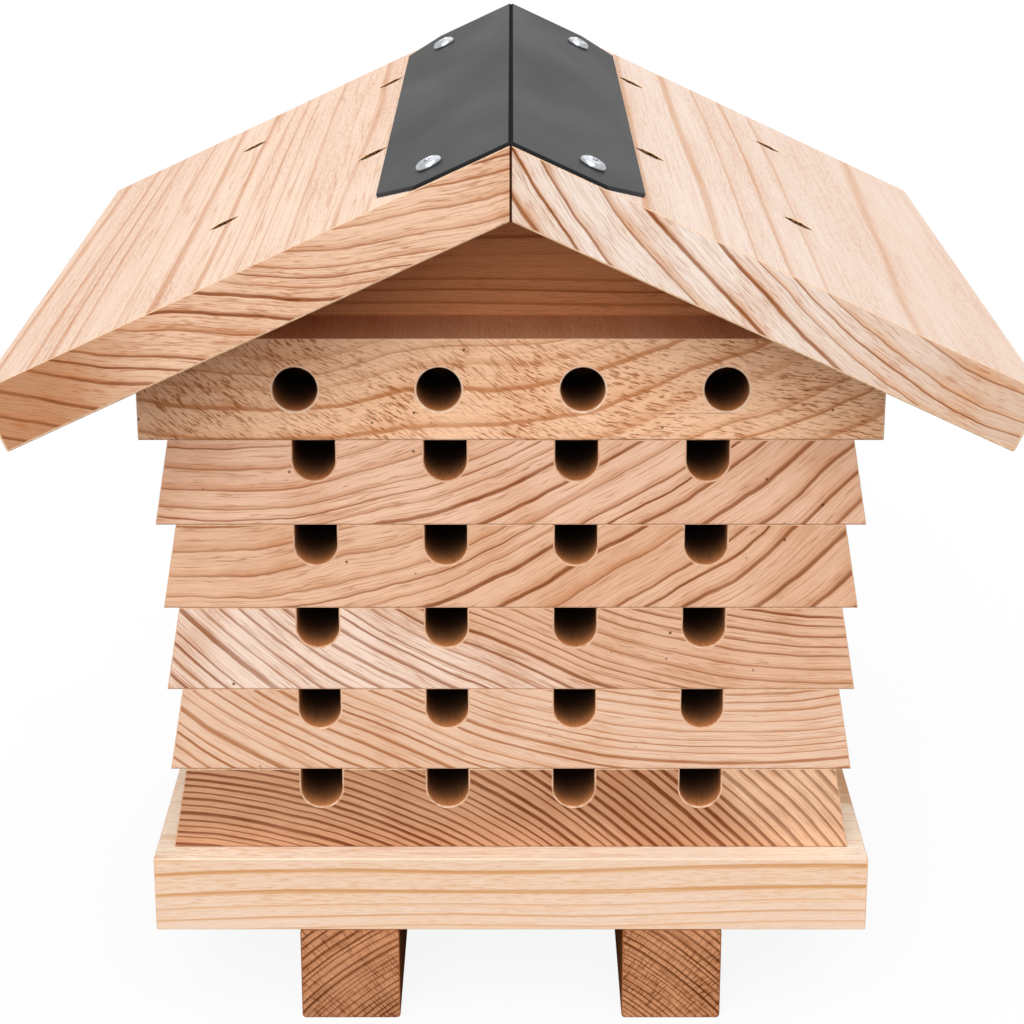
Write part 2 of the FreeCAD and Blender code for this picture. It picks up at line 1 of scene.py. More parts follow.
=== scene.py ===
"""Bee hotel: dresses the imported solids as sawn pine, zinc screws, steel staples and a dark folded cap.

Metres, in the solids' own frame: X across the front, Y from the front to the back, Z up from the ground.
"""

import json
import math
from functools import partial

import bmesh
import bpy
import numpy as np
from bpy.props import CollectionProperty, EnumProperty, FloatProperty, FloatVectorProperty, PointerProperty
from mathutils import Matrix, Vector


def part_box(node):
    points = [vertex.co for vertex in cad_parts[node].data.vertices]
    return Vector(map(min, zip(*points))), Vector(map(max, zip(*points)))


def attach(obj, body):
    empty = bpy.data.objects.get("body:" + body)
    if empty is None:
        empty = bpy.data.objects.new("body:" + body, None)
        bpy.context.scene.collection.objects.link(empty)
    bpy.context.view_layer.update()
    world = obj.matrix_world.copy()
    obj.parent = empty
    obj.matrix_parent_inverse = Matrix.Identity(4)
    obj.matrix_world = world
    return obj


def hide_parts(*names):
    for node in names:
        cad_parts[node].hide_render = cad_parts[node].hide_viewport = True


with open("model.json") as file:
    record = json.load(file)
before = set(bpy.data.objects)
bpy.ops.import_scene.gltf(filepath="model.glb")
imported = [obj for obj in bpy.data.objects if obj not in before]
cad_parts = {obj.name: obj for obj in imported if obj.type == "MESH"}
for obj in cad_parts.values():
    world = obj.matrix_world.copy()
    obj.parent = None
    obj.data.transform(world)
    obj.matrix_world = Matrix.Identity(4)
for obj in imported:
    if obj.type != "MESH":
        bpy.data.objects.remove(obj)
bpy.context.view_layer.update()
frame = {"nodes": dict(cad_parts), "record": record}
RECORD = frame["record"]
BODIES = {node: body for body, nodes in RECORD["behaviour"]["bodies"].items() for node in nodes}

bl_info = {
    "name": "Bee hotel",
    "version": (1, 0, 0),
    "blender": (4, 5, 0),
    "location": "3D View > Sidebar > Bee hotel",
    "description": "Dresses the solids of a bee hotel in sawn pine, zinc, steel wire and dark sheet",
    "category": "Object",
}

MM = 0.001
TRAYS = ("tray_1", "tray_2", "tray_3", "tray_4", "tray_5")
SIDES = {"left": -1, "right": 1}
# Settings of a Mix node for colours, whose result is its third output
RGBA = {"out": 2, "data_type": "RGBA"}

# Points this close are one point, and a point this far from a plane lies clear of it
MERGE = 0.001 * MM
CLEAR = 0.1 * MM
# Turns between faces: still flat, still shaded as round, and sharp enough to be eased
FLAT_TURN = math.radians(0.5)
ROUND_TURN = math.radians(40)
SHARP_TURN = math.radians(35)

# Sizes of the patterns in a log, in millimetres: across it, along the grain and up
WANDER = 60
RIPPLE = (14, 200, 14)
PATCH = (20, 150, 20)
DOT_GAPS = (9, 200, 9)
# Sizes of the fine patterns: along the ring, across it and along the grain, on a long face and on end grain,
# where each board gives its own length of flecks
FIBRE = ((0.7, 0.4, 60), (14, 0.32, 70))
WAVE = ((6, 3, 260), (60, 1.7, 260))
FLECK = (0.35, 0.35, 5)
FLECK_END = (0.42, 9)
# Heights above a board's foot between which the painted shade along its seam ends, and distances from the
# ridge where the joint ends
SEAM_SHADE = (0.3 * MM, 0.5 * MM)
JOINT = (0.22 * MM, 0.42 * MM)
# Depth over which the painted shade in a hole darkens, and depths between which it gives way to plain wood
SHADE_FADE = 5.5 * MM
SHADE_ENDS = (34 * MM, 50 * MM)
# Reach of the torn wood from a staple, down the slope and along the ridge
TORN = (3.4 * MM, 2.8 * MM)

# A cross recess: reach of its arms, half their width, and depth
PAN_RECESS = (2.1 * MM, 0.55 * MM, 1.5 * MM)
FLAT_RECESS = (2.3 * MM, 0.45 * MM, 1.6 * MM)
# Width of the wall of a recess, and depth from which it is painted dark as shade
RECESS_WALL = 0.2 * MM
RECESS_SHADE = 0.3 * MM
# Distance from thread to thread, and radius between the threads as a share of the whole
PAN_THREAD = 1.5 * MM
FLAT_THREAD = 2.2 * MM
CORE = 0.72
# Bevel at the ends of a pin, and number of its grooves
PIN_BEVEL = 1 * MM
FLUTES = 16

# Lamps: height above the ground and heading in degrees, share of full light, and spread in degrees
LAMPS = {
    "front_light": (24, -8, 0.62, 40),
    "high_light": (60, -5, 0.45, 70),
    "back_light": (50, 165, 0.18, 60),
}
# Strength of the white sky where the camera doesn't see it
WORLD_LIGHT = 0.4
# Half the width of the floor, and the share of white that the camera sees in it
FLOOR_REACH = 6.0
FLOOR_GLOW = 0.9

# What boards of one kind share, and then each board as it was cut from its log. The names are those of
# BoardLook, which says what they mean; lengths are in millimetres and turns in degrees.
# The legs' long faces and eased edges are painted dark brown, as the shade beneath the base board
LEG = {"uneven": 0.5, "sway": 0.8, "late": 0.5, "ripple": 0.25, "weak": 0.6, "fleck_length": 3, "dense": 0.13,
       "fleck_tone": "#5C2A0E", "planed": "#5C3018", "rubbed": "#9A5E38", "bleach": 0.85, "bleach_side": 0.85,
       "gloss": 0, "arris": 0.3, "rim": 0.3}
TRAY = {"ripple": 0.2, "seam": 0.45, "arris": 0.25, "rim": 0.45}
# The gables' wood and edge colours are painted darker, as the shade under the roof
GABLE = {"grain": "X", "sway": 4, "run": 180, "late": 0.3, "ripple": 0.3, "weak": 0.1, "fleck_length": 9,
         "fleck": 0.8, "dense": 0.12, "fleck_tone": "#7A4220", "early": "#D09064", "band": "#BE784A",
         "line": "#804320", "side_line": "#7C3E1A", "rubbed": "#B87A50", "face": 0.7, "bleach": 0,
         "bleach_side": 0, "arris": 0.4, "rim": 0.3}
ROOF = {"dense": 0.1, "dots": 0, "sap_lines": 1, "rubbed": "#F8D6B2", "face": 0.65, "bleach": 0.55,
        "bleach_side": 0.4, "mitre": 1, "arris": 0.6, "rim": 0.2}
BOARD_LOOKS = {
    "left_leg": {**LEG, "pith": (14, -62), "ring": 1.75, "fleck_turn": 88, "fleck": 0.9,
                 "early": "#CC9069", "band": "#9E5F38", "line": "#5A2A0F"},
    "right_leg": {**LEG, "pith": (-16, -62), "ring": 1.65, "fleck_turn": 92, "fleck": 0.8,
                  "early": "#CF946C", "band": "#A06139", "line": "#5C2C11"},
    "base_board": {"grain": "X", "pith": (40, -420), "ring": 5.6, "sway": 1.8, "run": 130,
                   "tilt": 1.2, "late": 0.3, "ripple": 0.3, "weak": 0.45, "fleck_length": 9, "fleck": 0.9,
                   "dense": 0.13, "fleck_tone": "#CE955E", "early": "#ECD0BB", "band": "#E9C09A",
                   "line": "#BC783A", "side_line": "#C88C52", "planed": "#FFF0DC", "face": 0.9, "bleach": 1,
                   "bleach_side": 0, "arris": 0.3, "rim": 0.4},
    "tray_1": {**TRAY, "pith": (-100, -94), "ring": 2.3, "uneven": 0.3, "sway": 1.2, "late": 0.6, "weak": 0.8,
               "hair": 0.3, "sap": 226, "sap_tone": "#EFC3A0", "fleck": 0.35,
               "early": "#CA9876", "band": "#A26640", "line": "#6C3518"},
    "tray_2": {**TRAY, "pith": (60, 285), "ring": 2.8, "uneven": 0.5, "sway": 1.2, "late": 0.36, "fleck": 0.3,
               "early": "#E9C5AB", "band": "#D79E74", "line": "#A26238"},
    "tray_3": {**TRAY, "pith": (92, 308), "ring": 3.3, "uneven": 0.6, "sway": 1.5, "late": 0.34, "dots": 0.9,
               "sap": 222, "sap_tone": "#F6DCCA", "sap_lines": 0.8,
               "early": "#E6BA9C", "band": "#C6885C", "line": "#82421C"},
    "tray_4": {**TRAY, "pith": (-90, 322), "ring": 6.2, "sway": 2.2, "late": 0.24, "weak": 0.5,
               "dots": 0.8, "fleck": 0.25, "early": "#ECC0A1", "band": "#CC8C60", "line": "#7C3C14"},
    "tray_5": {**TRAY, "pith": (-80, 332), "ring": 5.2, "sway": 2.2, "late": 0.25, "weak": 0.5,
               "dots": 0.8, "fleck": 0.25, "early": "#F2C8AC", "band": "#CF9066", "line": "#803E16"},
    # The block's top takes a dark brown, and its upright sides a little of it, painted as the shade under the
    # roof
    "top_block": {"pith": (-60, 480), "ring": 7.5, "sway": 4, "late": 0.2, "ripple": 0.2,
                  "weak": 0, "hair": 0.35, "dots": 0.9, "fleck_length": 3, "fleck_turn": 36, "fleck": 1,
                  "dense": 0.12, "early": "#FFD3AE", "band": "#E2A67A", "line": "#C48254",
                  "planed": "#B86C3C", "rubbed": "#FBE0C6", "bleach": 0.6, "bleach_side": 0.1, "seam": 0.45,
                  "arris": 0.25, "rim": 0.55},
    "front_gable": {**GABLE, "pith": (-60, 620), "ring": 4.5},
    "rear_gable": {**GABLE, "pith": (40, 600), "ring": 4.4},
    "left_roof_board": {**ROOF, "pith": (-65, 470), "ring": 4.3, "sway": 2.2, "late": 0.28, "ripple": 0.2,
                        "weak": 0.5, "fleck": 0.7, "stain": (-84, -112), "sap_tone": "#BA8A68",
                        "early": "#ECC5A8", "band": "#C9885C", "line": "#723612", "planed": "#FCE8D8"},
    "right_roof_board": {**ROOF, "pith": (228, 381), "ring": 6.4, "sway": 2, "late": 0.22, "ripple": 0.15,
                         "weak": 0.7, "hair": 0.35, "fleck_length": 5, "fleck": 0.6, "stain": (55, 125),
                         "sap_tone": "#D9BCA6", "early": "#EFDFD3", "band": "#D49C70", "line": "#84441A",
                         "planed": "#F6DECE"},
}


def linear(code):
    """Turns an sRGB hex colour into the linear red, green and blue that shaders work in."""
    shares = np.array([int(code[at:at + 2], 16) for at in (1, 3, 5)]) / 255
    bright = ((shares + 0.055) / 1.055) ** 2.4
    return tuple(np.where(shares <= 0.04045, shares / 12.92, bright))


def opaque(colour):
    """A linear colour with the full alpha that a shader socket asks for."""
    return (*colour, 1.0)


def tone(name, description, code):
    """A setting for a colour, with an sRGB code as its default."""
    return FloatVectorProperty(name=name, description=description, subtype="COLOR", default=linear(code),
                               min=0, max=1)


def share(name, description, default):
    """A setting from nought to one."""
    return FloatProperty(name=name, description=description, subtype="FACTOR", default=default, min=0, max=1)


def span(name, description, default):
    """A setting for a length, with a default in millimetres."""
    return FloatProperty(name=name, description=description, unit="LENGTH", default=MM * default, min=0)


class BoardLook(bpy.types.PropertyGroup):
    """How one board was cut from its log, and how far its edges are eased"""
    grain: EnumProperty(name="Grain", description="Axis that the fibres run along", default="Y",
                        items=(("X", "Across", "From side to side"), ("Y", "Back", "From front to back")))
    pith: FloatVectorProperty(name="Pith", description="Middle of the rings, across the grain and up", size=2,
                              unit="LENGTH", default=(0, 0.4))
    ring: span("Ring width", "Distance between growth rings", 4)
    uneven: share("Unevenness", "How much the ring width varies", 0.7)
    sway: span("Sway", "How far a ring wanders", 3)
    run: span("Run", "Length along the grain over which a ring wanders", 500)
    tilt: FloatProperty(name="Tilt", description="Rise of the grain across the front", subtype="ANGLE",
                        default=0)
    ripple: share("Ripple", "Small waves of a ring, as a share of its width", 0.25)
    late: share("Late wood", "Share of a ring that is dark", 0.3)
    weak: share("Weakest line", "Strength of the faintest ring", 0.55)
    hair: share("Hairlines", "Strength of the fine lines beside the rings", 0.65)
    dots: share("Resin dots", "Strength of the resin dots in end grain", 0.4)
    sap: span("Heartwood", "Distance from the pith at which sapwood starts", 10000)
    stain: FloatVectorProperty(name="Stain", description="Where across the front a stain starts and is full",
                               size=2, unit="LENGTH", default=(5, 6))
    sap_tone: tone("Sapwood", "Early wood beyond the heartwood and in a stain", "#FBE3D1")
    sap_lines: share("Sapwood lines", "Strength of the lines there", 0.6)
    fleck_length: span("Fleck length", "Length of the torn fibres in end grain", 4)
    fleck_turn: FloatProperty(name="Fleck turn", description="Turn of the flecks away from the ring",
                              subtype="ANGLE", default=0)
    fleck: share("Flecks", "Strength of the flecks", 0.4)
    dense: share("Fleck density", "How much of the wood the flecks cover", 0.06)
    fleck_tone: tone("Fleck colour", "Torn fibres and resin", "#AE683A")
    early: tone("Early wood", "Pale wood of the spring", "#EFC4A6")
    band: tone("Warm band", "Wood that leads to the line", "#DDAA86")
    line: tone("Late wood line", "Dark wood of the autumn", "#A06B48")
    side_line: tone("Side line", "Late wood on a long face, in the table by default the warm band", "#DDAA86")
    # On the legs and the top block this colour is a painted shade; elsewhere it is the paler colour of a
    # planed face
    planed: tone("Planed face", "Colour of a planed long face", "#FAE2D0")
    rubbed: tone("Rubbed edge", "Wood where an edge was rubbed down", "#EAC2A2")
    face: share("Long faces", "Share of the rings' contrast left on long faces", 0.6)
    bleach: share("Bleach", "How far level faces take the planed colour", 0.2)
    bleach_side: share("Side bleach", "How far upright faces take the planed colour", 0.2)
    gloss: share("Gloss", "Specular level of the sawn face", 0.05)
    # The seam setting paints shade along the foot of a board and on its edges that face down, where it sits
    # on the board below
    seam: share("Seam", "Darkness of the dust along the foot of the board", 0)
    mitre: share("Mitre", "Darkness of the joint line where boards meet at the ridge", 0)
    arris: span("Arris", "Rounding of the long edges", 0.5)
    rim: span("Rim", "Rounding of the rims of holes and slots", 0.4)


class HotelLook(bpy.types.PropertyGroup):
    """Sizes and colours of the bee hotel that a user may change"""
    boards: CollectionProperty(type=BoardLook, name="Boards", description="One look for each pine board")
    beech: tone("Beech", "Locating pins", "#DDBB94")
    sheet: tone("Cap sheet", "Dark folded sheet", "#3C3C3D")
    # A dark painted as shade into the cap's fold groove, onto its front and back edges, and into the screws'
    # recesses
    shade_dark: tone("Scored fold", "Fold and cut edges of the cap", "#1C1C1E")
    zinc: tone("Zinc", "Screws", "#BCBFC3")
    zinc_spot: tone("Zinc spots", "Dull spots of the zinc", "#8A8E94")
    wire: tone("Wire", "Staples", "#77716A")
    cap_arris: span("Cap edge", "Rounding of the edges of the cap", 0.25)
    dome: span("Pan head", "Height of the cap screws' heads", 2.2)
    countersink: span("Countersink", "Height of the hidden screws' heads", 2)
    flute: span("Flute", "Depth of the grooves along a pin", 0.35)
    camera_place: FloatVectorProperty(name="Camera", description="Place of the camera", subtype="TRANSLATION",
                                      unit="LENGTH", default=(0.0003, -0.758, 0.3765))
    camera_dip: FloatProperty(name="Camera dip", description="How far the camera looks down",
                              subtype="ANGLE", default=math.radians(18.4))
    camera_lens: FloatProperty(name="Lens", description="Focal length on a 36 mm sensor", default=93.4,
                               subtype="DISTANCE_CAMERA")


def fill_boards(look):
    """Puts the table of boards into the scene's settings, each value in the unit that its setting has."""
    look.boards.clear()
    for node, row in BOARD_LOOKS.items():
        board = look.boards.add()
        board.name = node
        for key, value in {"side_line": row["band"], **row}.items():
            setting = board.bl_rna.properties[key]
            if setting.subtype == "COLOR":
                value = linear(value)
            elif setting.subtype == "ANGLE":
                value = math.radians(value)
            elif setting.unit == "LENGTH":
                value = np.multiply(value, MM)
            setattr(board, key, value)


def add_node(tree, kind, inputs=None, out=0, **settings):
    """Adds one node with its settings, fills or links its inputs, and returns one of its outputs.

    Inputs go by name or number. A MapRange reads its value 0 between 1 and 2 and gives what lies as far
    between 3 and 4, each time 0 and 1 where nothing is given. A Mix goes by its share 0 from 6 to 7.
    """
    item = tree.nodes.new("ShaderNode" + kind)
    for name, value in settings.items():
        setattr(item, name, value)
    for key, value in (inputs or {}).items():
        if isinstance(value, bpy.types.NodeSocket):
            tree.links.new(value, item.inputs[key])
        else:
            item.inputs[key].default_value = value
    return item.outputs[out] if item.outputs else None


def new_material(name):
    """Starts a material with an empty tree, and returns it with the function that adds its nodes."""
    material = bpy.data.materials.new(name)
    material.use_nodes = True
    material.node_tree.nodes.clear()
    return material, partial(add_node, material.node_tree)


def finish_material(add, colour, rough, gloss, relief=None, metal=0.0):
    """Closes a tree with one principled shader; relief is a strength, a depth and the pattern raised."""
    inputs = {"Base Color": colour, "Roughness": rough, "Specular IOR Level": gloss, "Metallic": metal}
    if relief:
        strength, depth, height = relief
        inputs["Normal"] = add("Bump", {"Strength": strength, "Distance": depth, "Height": height})
    add("OutputMaterial", {"Surface": add("BsdfPrincipled", inputs)})


def cloud(add, place, size, detail, roughness=0.5):
    """A cloudy pattern whose spots have the given size along each axis, in the unit of the place."""
    spot = add("VectorMath", {0: place, 1: size}, operation="DIVIDE")
    return add("TexNoise", {"Vector": spot, "Scale": 1, "Detail": detail, "Roughness": roughness})


def growth_rings(add, board, spot, radius):
    """How far out in its log a point lies, how far through its ring that is, and a chance drawn for the ring.

    A ring wanders over 60 mm and ripples over 14 mm. Rings widen with the distance from the pith, so their
    number follows the logarithm of that distance, and it runs ahead or behind where the rings are uneven.
    """
    gap = board.ring / MM
    section = add("VectorMath", {0: spot, 1: (1, 0, 1)}, operation="MULTIPLY")
    reach = add("VectorMath", {0: section}, out=1, operation="LENGTH")
    broad = cloud(add, spot, (WANDER, board.run / MM, WANDER), 1)
    fine = cloud(add, spot, RIPPLE, 3)
    swayed = add("Math", {0: broad, 1: 4 * board.sway / MM, 2: reach}, operation="MULTIPLY_ADD")
    ring = add("Math", {0: fine, 1: 2 * board.ripple * gap, 2: swayed}, operation="MULTIPLY_ADD")
    scaled = add("Math", {0: ring, 1: radius}, operation="DIVIDE")
    grown = add("Math", {0: scaled, 1: math.e}, operation="LOGARITHM")
    count = add("Math", {0: grown, 1: radius / gap}, operation="MULTIPLY")
    slow = add("Math", {0: count, 1: 1 / 4}, operation="MULTIPLY")
    pace = add("TexNoise", {"W": slow, "Scale": 1, "Detail": 1}, noise_dimensions="1D")
    phase = add("Math", {0: pace, 1: 4 * board.uneven, 2: count}, operation="MULTIPLY_ADD")
    number = add("Math", {0: phase}, operation="FLOOR")
    through = add("Math", {0: phase}, operation="FRACT")
    return ring, through, add("TexWhiteNoise", {"W": number}, noise_dimensions="1D")


def sawn_pine(board):
    """Pine, sawn and lightly sanded.

    The rings are cylinders about the pith, so end grain shows arcs and long faces show lines that agree
    with them. Each ring darkens slowly from early to late wood and ends sharply, which gives the eye the
    hard-edged brown lines; fibres along the rings and torn flecks break the surface up.
    """
    material, add = new_material("sawn_pine_" + board.name)
    low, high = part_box(board.name)
    middle = (low + high) / 2
    across = board.grain == "X"
    pith = [value / MM for value in board.pith]
    radius = math.dist((-middle.y / MM if across else middle.x / MM, middle.z / MM), pith)

    # Place in the log in millimetres, and how far a face lies across the grain
    place = add("TexCoord", out=3)
    spot = add("Mapping", {"Vector": place, "Location": (-pith[0], 0, -pith[1]), "Scale": (1 / MM,) * 3,
                           "Rotation": (0, board.tilt, math.pi / 2 if across else 0)})
    axes = add("SeparateXYZ", {0: spot}).node.outputs
    facing = add("NewGeometry", out=1)
    grain = (1, 0, 0) if across else (0, 1, 0)
    end = add("VectorMath", {0: facing, 1: grain}, out=1, operation="DOT_PRODUCT")
    end = add("Math", {0: end}, operation="ABSOLUTE")

    # Lines of late wood: a strong one is also a wide one, and sapwood or the far end of a tone shift has its
    # own strength
    ring, through, chance = growth_rings(add, board, spot, radius)
    ended = add("MapRange", {0: through, 1: 0.955, 2: 1, 3: 1, 4: 0})
    warm = add("MapRange", {0: through, 1: 0.5, 2: 0.96, 4: 0.6}, interpolation_type="SMOOTHSTEP")
    begin = add("Math", {0: chance, 1: -0.6 * board.late, 2: 1 - 0.45 * board.late}, operation="MULTIPLY_ADD")
    full = add("Math", {0: begin, 1: 0.6, 2: 0.4}, operation="MULTIPLY_ADD")
    line = add("MapRange", {0: through, 1: begin, 2: full}, interpolation_type="SMOOTHSTEP")
    strong = add("MapRange", {0: chance, 3: board.weak})
    sap = add("MapRange", {0: ring, 1: board.sap / MM, 2: board.sap / MM + 8})
    # Towards one end across the front the early wood turns to the sapwood colour; on the roof fronts it turns
    # darker towards the eave
    start, most = (value / MM - pith[0] for value in board.stain)
    tone_shifted = add("MapRange", {0: axes["X"], 1: start, 2: most})
    tone_shifted = add("Math", {0: tone_shifted, 1: add("MapRange", {0: end, 3: 0.3})}, operation="MULTIPLY")
    sap = add("Math", {0: sap, 1: tone_shifted}, operation="MAXIMUM")
    heart = add("MapRange", {0: sap, 3: 1, 4: board.sap_lines})

    # Fibres, hairlines and flecks follow the rings
    ratio = add("Math", {0: axes["X"], 1: axes["Z"]}, operation="DIVIDE")
    angle = add("Math", {0: ratio}, operation="ARCTANGENT")
    arc = add("Math", {0: angle, 1: radius}, operation="MULTIPLY")
    polar = add("CombineXYZ", {0: arc, 1: ring, 2: axes["Y"]})
    turned = add("VectorRotate", {"Vector": polar, "Angle": board.fleck_turn}, rotation_type="Z_AXIS")
    noises = []
    for point, (long_face, end_grain), detail in (
            (polar, FIBRE, 4), (polar, WAVE, 2), (turned, (FLECK, (board.fleck_length / MM, *FLECK_END)), 1)):
        size = add("Mix", {0: end, 4: long_face, 5: end_grain}, out=1, data_type="VECTOR")
        noises.append(cloud(add, point, size, detail, 0.7))
    fibre, wave, fleck_noise = noises
    level = add("Math", {0: wave, 1: 0.5}, operation="SUBTRACT")
    level = add("Math", {0: level}, operation="ABSOLUTE")
    hair = add("MapRange", {0: level, 1: 0.004, 2: 0.022, 3: board.hair, 4: 0})
    patch = cloud(add, spot, PATCH, 2)
    fleck = add("MapRange", {0: fleck_noise, 1: 0.62 - board.dense, 2: 0.78 - board.dense, 4: board.fleck})
    spread = add("MapRange", {0: patch, 1: 0.3, 2: 0.6, 3: 0.2})
    for part in (spread, add("MapRange", {0: end, 3: 0.5})):
        fleck = add("Math", {0: fleck, 1: part}, operation="MULTIPLY")

    # End grain shows the rings at full strength, long faces show them weaker and take the planed colour,
    # which is a painted shade on the legs and the top of the block
    keep = add("MapRange", {0: end, 3: board.face})
    faded = add("MapRange", {0: patch, 1: 0.3, 2: 0.6, 3: 0.7})
    for part in (ended, strong, keep, faded, heart):
        line = add("Math", {0: line, 1: part}, operation="MULTIPLY")
    for part in (ended, keep, heart):
        warm = add("Math", {0: warm, 1: part}, operation="MULTIPLY")
    blotch = add("MapRange", {0: patch, 1: 0.3, 2: 0.75, 3: -0.15, 4: 0.4}, clamp=False)
    warmth = add("Math", {0: warm, 1: blotch}, operation="ADD", use_clamp=True)
    rise = add("Math", {0: add("SeparateXYZ", {0: facing}, out=2)}, operation="ABSOLUTE")
    flat = add("MapRange", {0: rise, 1: 0.3, 2: 0.8, 3: board.bleach_side, 4: board.bleach})
    bleach = add("MapRange", {0: end, 3: flat, 4: 0})
    shine = add("MapRange", {0: fibre, 1: 0.48, 2: 0.22, 4: 0.4})
    streak = add("MapRange", {0: fibre, 1: 0.5, 2: 0.72, 4: 0.6})
    streak = add("Math", {0: streak, 1: hair}, operation="MAXIMUM")
    streak = add("Math", {0: streak, 1: keep}, operation="MULTIPLY")
    dot_spot = add("VectorMath", {0: spot, 1: DOT_GAPS}, operation="DIVIDE")
    dots = add("TexVoronoi", {"Vector": dot_spot, "Scale": 1}).node.outputs
    dot = add("MapRange", {0: dots["Distance"], 1: 0.03, 2: 0.06, 3: board.dots, 4: 0})
    for part in (add("Math", {0: dots["Color"], 1: 0.4}, operation="GREATER_THAN"), end):
        dot = add("Math", {0: dot, 1: part}, operation="MULTIPLY")

    # The colours lie over each other from the early wood up
    early = add("Mix", {0: sap, 6: opaque(board.early), 7: opaque(board.sap_tone)}, **RGBA)
    line_tone = add("Mix", {0: end, 6: opaque(board.side_line), 7: opaque(board.line)}, **RGBA)
    brown = opaque(0.6 * band + 0.4 * dark for band, dark in zip(board.band, board.line))
    streak_tone = add("Mix", {0: end, 6: opaque(board.band), 7: brown}, **RGBA)
    colour = early
    for layer, over in ((warmth, opaque(board.band)), (bleach, opaque(board.planed)), (shine, early),
                        (line, line_tone), (streak, streak_tone), (fleck, opaque(board.fleck_tone)),
                        (dot, opaque(linear("#4A2410")))):
        colour = add("Mix", {0: layer, 6: colour, 7: over}, **RGBA)
    if board.mitre:
        colour = torn_wood(add, board.name.replace("board", "staples"), place, fleck_noise, colour)
    # Painted shade in the seam: the lowest half millimetre of the board darkens
    height = add("SeparateXYZ", {0: place}, out=2)
    foot = add("MapRange", {0: height, 1: low.z + SEAM_SHADE[0], 2: low.z + SEAM_SHADE[1], 3: board.seam, 4: 0})
    colour = add("Mix", {0: foot, 6: colour, 7: opaque(linear("#54280E"))}, **RGBA)
    colour = dark_joint(add, board, place, colour)
    rough = add("MapRange", {0: fibre, 1: 0.2, 2: 0.8, 3: 0.55, 4: 0.8})
    finish_material(add, colour, rough, board.gloss, (0.15, 0.08 * MM, fibre))
    return material


def dark_joint(add, board, place, colour):
    """Darkens the last 0.4 mm beside the ridge, where two mitred boards meet and dirt collects."""
    aside = add("Math", {0: add("SeparateXYZ", {0: place})}, operation="ABSOLUTE")
    joint = add("MapRange", {0: aside, 1: JOINT[0], 2: JOINT[1], 3: board.mitre, 4: 0})
    return add("Mix", {0: joint, 6: colour, 7: opaque(linear("#331202"))}, **RGBA)


def torn_wood(add, staples, place, fray, colour):
    """Browns the wood that each staple tore open, within a frayed oval that is longer down the slope."""
    down, back = roof_axes(SIDES[staples.split("_")[0]])[:2]
    for points in split_solids(staples, down, back):
        middle = tuple((points.min(axis=0) + points.max(axis=0)) / 2)
        away = add("VectorMath", {0: place, 1: middle}, operation="SUBTRACT")
        along = add("VectorMath", {0: away, 1: tuple(down / TORN[0])}, out=1, operation="DOT_PRODUCT")
        aside = add("VectorMath", {0: away, 1: tuple(back / TORN[1])}, out=1, operation="DOT_PRODUCT")
        reach = add("VectorMath", {0: add("CombineXYZ", {0: along, 1: aside})}, out=1, operation="LENGTH")
        reach = add("Math", {0: fray, 1: -1.2, 2: reach}, operation="MULTIPLY_ADD")
        torn = add("MapRange", {0: reach, 1: 0, 2: 0.6, 3: 0.85, 4: 0})
        colour = add("Mix", {0: torn, 6: colour, 7: opaque(linear("#5E3A22"))}, **RGBA)
    return colour


def bored_pine(board):
    """Pine cut by a drill or router: pale at the lip, painted dark behind it as the shade inside the hole,
    and plain brown further back.

    The painted shade fades in over 5.5 mm and ends between 34 and 50 mm behind the front.
    """
    material, add = new_material("bored_pine_" + board.name)
    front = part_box(board.name)[0].y
    place = add("TexCoord", out=3)
    depth = add("SeparateXYZ", {0: place}, out=1)
    # Painted shade: near black behind the lip, the wood's own colour only at the lip, plain brown further
    # back
    behind = add("MapRange", {0: depth, 1: front, 2: front + 0.1, 4: -0.1 / SHADE_FADE})
    lit = add("Math", {0: behind}, operation="EXPONENT")
    unshaded = add("MapRange", {0: depth, 1: front + SHADE_ENDS[0], 2: front + SHADE_ENDS[1]})
    tear = cloud(add, place, (0.8 * MM, 6 * MM, 0.8 * MM), 3)
    scorch = add("MapRange", {0: tear, 1: 0.5, 2: 0.75, 4: 0.3})
    colour = opaque(linear("#160802"))
    for layer, code in ((lit, "#DC9058"), (unshaded, "#A8784F"), (scorch, "#1C0D06")):
        colour = add("Mix", {0: layer, 6: colour, 7: opaque(linear(code))}, **RGBA)
    finish_material(add, colour, 0.8, 0.15, (0.3, 0.1 * MM, tear))
    return material


def torn_pine(board):
    """Pine torn open by a staple: splintered along the grain, brown with dark cracks; its darkness is partly
    torn wood and partly painted shade inside the slot.
    """
    material, add = new_material("torn_pine_" + board.name)
    splinter = cloud(add, add("TexCoord", out=3), (0.5 * MM, 4 * MM, 0.5 * MM), 3)
    crack = add("MapRange", {0: splinter, 1: 0.4, 2: 0.6})
    colour = add("Mix", {0: crack, 6: opaque(linear("#86603E")), 7: opaque(linear("#241409"))}, **RGBA)
    finish_material(add, colour, 0.85, 0.05, (0.5, 0.2 * MM, splinter))
    return material


